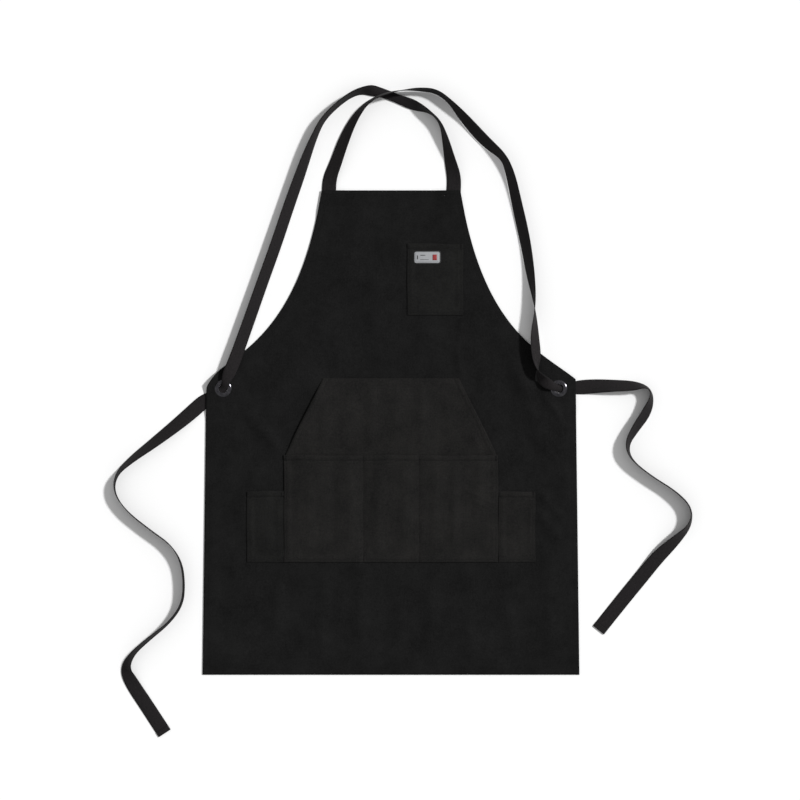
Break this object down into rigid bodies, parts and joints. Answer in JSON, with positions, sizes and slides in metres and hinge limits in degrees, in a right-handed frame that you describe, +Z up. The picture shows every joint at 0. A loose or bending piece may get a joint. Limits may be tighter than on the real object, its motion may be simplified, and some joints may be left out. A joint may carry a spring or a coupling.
{
  "type": "bib apron",
  "caption": "Cloth bib apron lying flat, with pockets, waist eyelets and two long straps that cross behind the neck and run back through the eyelets.",
  "frame": {"origin": "on the floor below the middle of the cloth, which lies face up on its back", "axes": "+X across the apron to the right as seen from the front, +Y toward the neck, +Z up out of the front"},
  "size_m": [1.077, 1.2101, 0.0321],
  "materials": {
    "canvas": "black cotton canvas",
    "pocket_canvas": "black cotton canvas",
    "facing_tape": "black cotton bias strip",
    "webbing": "black woven cotton webbing",
    "thread": "black polyester thread",
    "label_cloth": "woven damask label",
    "eyelet_metal": "black nickel plate"
  },
  "bodies": {
    "root": {"front_panel": "canvas", "left_armhole_facing": "facing_tape", "right_armhole_facing": "facing_tape", "chest_pocket": "pocket_canvas", "woven_label": "label_cloth", "hand_pocket": "pocket_canvas", "front_pocket": "pocket_canvas", "left_tool_pocket": "pocket_canvas", "right_tool_pocket": "pocket_canvas", "left_eyelet": "eyelet_metal", "right_eyelet": "eyelet_metal", "left_eyelet_washer": "eyelet_metal", "right_eyelet_washer": "eyelet_metal", "left_eyelet_patch": "canvas", "right_eyelet_patch": "canvas", "left_shoulder_strap": "webbing", "right_shoulder_strap": "webbing", "hem_stitching": "thread", "armhole_stitching": "thread", "chest_pocket_stitching": "thread", "hand_pocket_stitching": "thread", "front_pocket_stitching": "thread", "tool_pocket_stitching": "thread", "label_stitching": "thread", "bar_tacks": "thread", "left_strap_stitching": "thread", "right_strap_stitching": "thread"}
  },
  "joints": []
}
